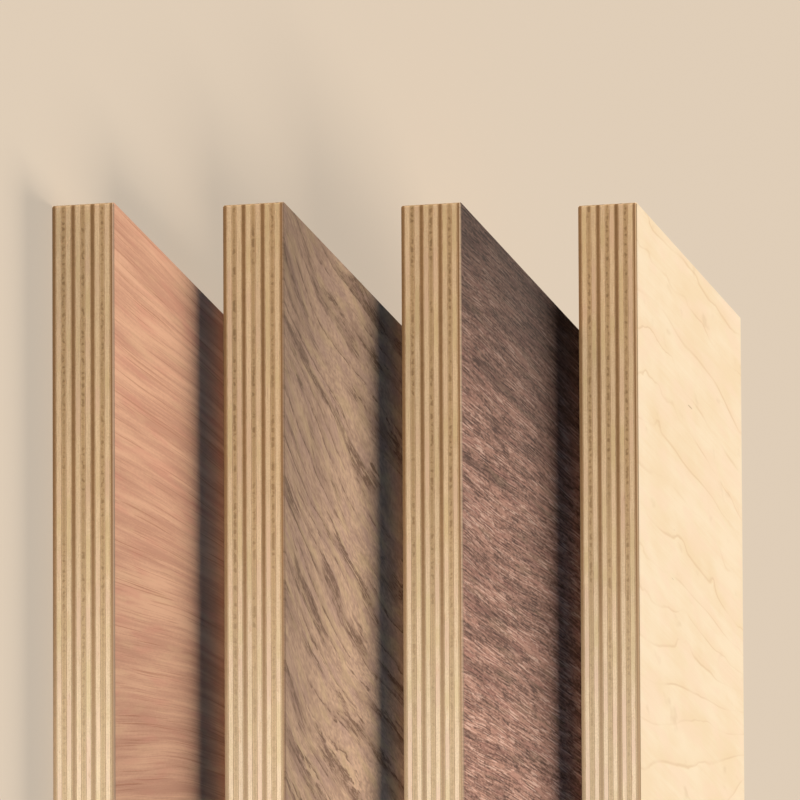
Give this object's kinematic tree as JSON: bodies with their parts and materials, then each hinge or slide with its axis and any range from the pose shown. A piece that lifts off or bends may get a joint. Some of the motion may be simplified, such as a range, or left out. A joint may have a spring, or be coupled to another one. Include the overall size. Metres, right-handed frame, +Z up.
{
  "type": "stack of plywood sheets",
  "caption": "Stepped stack of four veneered plywood panels lying flat, flush at the back, each less deep than the one below, so the sawn edges and cherry, oak, walnut and maple faces show.",
  "frame": {"origin": "middle of the bottom sheet's underside", "axes": "+X along the sheets' front edges, +Y back along their depth to their flush back edges, +Z up through the stack, each sheet's front edge further back than the one below"},
  "size_m": [0.411, 0.61, 0.072],
  "materials": {
    "cross_grain_ply": "sawn birch veneer, end grain on the front edge",
    "long_grain_ply": "sawn birch veneer, long grain on the front edge",
    "cherry_veneer": "sanded bare cherry veneer, straight grain",
    "oak_veneer": "sanded bare brown oak veneer, open pores",
    "walnut_veneer": "sanded bare walnut veneer, open pores",
    "maple_veneer": "sanded bare maple veneer, faint growth lines"
  },
  "bodies": {
    "root": {"cherry_ply_01": "cross_grain_ply", "cherry_ply_02": "long_grain_ply", "cherry_ply_03": "cross_grain_ply", "cherry_ply_04": "long_grain_ply", "cherry_ply_05": "cross_grain_ply", "cherry_ply_06": "long_grain_ply", "cherry_ply_07": "cross_grain_ply", "cherry_ply_08": "long_grain_ply", "cherry_ply_09": "cross_grain_ply", "cherry_ply_10": "long_grain_ply", "cherry_ply_11": "cross_grain_ply", "cherry_ply_12": "long_grain_ply", "cherry_ply_13": "cross_grain_ply", "cherry_face_veneer": "cherry_veneer", "oak_ply_01": "cross_grain_ply", "oak_ply_02": "long_grain_ply", "oak_ply_03": "cross_grain_ply", "oak_ply_04": "long_grain_ply", "oak_ply_05": "cross_grain_ply", "oak_ply_06": "long_grain_ply", "oak_ply_07": "cross_grain_ply", "oak_ply_08": "long_grain_ply", "oak_ply_09": "cross_grain_ply", "oak_ply_10": "long_grain_ply", "oak_ply_11": "cross_grain_ply", "oak_ply_12": "long_grain_ply", "oak_ply_13": "cross_grain_ply", "oak_face_veneer": "oak_veneer", "walnut_ply_01": "cross_grain_ply", "walnut_ply_02": "long_grain_ply", "walnut_ply_03": "cross_grain_ply", "walnut_ply_04": "long_grain_ply", "walnut_ply_05": "cross_grain_ply", "walnut_ply_06": "long_grain_ply", "walnut_ply_07": "cross_grain_ply", "walnut_ply_08": "long_grain_ply", "walnut_ply_09": "cross_grain_ply", "walnut_ply_10": "long_grain_ply", "walnut_ply_11": "cross_grain_ply", "walnut_ply_12": "long_grain_ply", "walnut_ply_13": "cross_grain_ply", "walnut_face_veneer": "walnut_veneer", "maple_ply_01": "cross_grain_ply", "maple_ply_02": "long_grain_ply", "maple_ply_03": "cross_grain_ply", "maple_ply_04": "long_grain_ply", "maple_ply_05": "cross_grain_ply", "maple_ply_06": "long_grain_ply", "maple_ply_07": "cross_grain_ply", "maple_ply_08": "long_grain_ply", "maple_ply_09": "cross_grain_ply", "maple_ply_10": "long_grain_ply", "maple_ply_11": "cross_grain_ply", "maple_ply_12": "long_grain_ply", "maple_ply_13": "cross_grain_ply", "maple_face_veneer": "maple_veneer"}
  },
  "joints": []
}
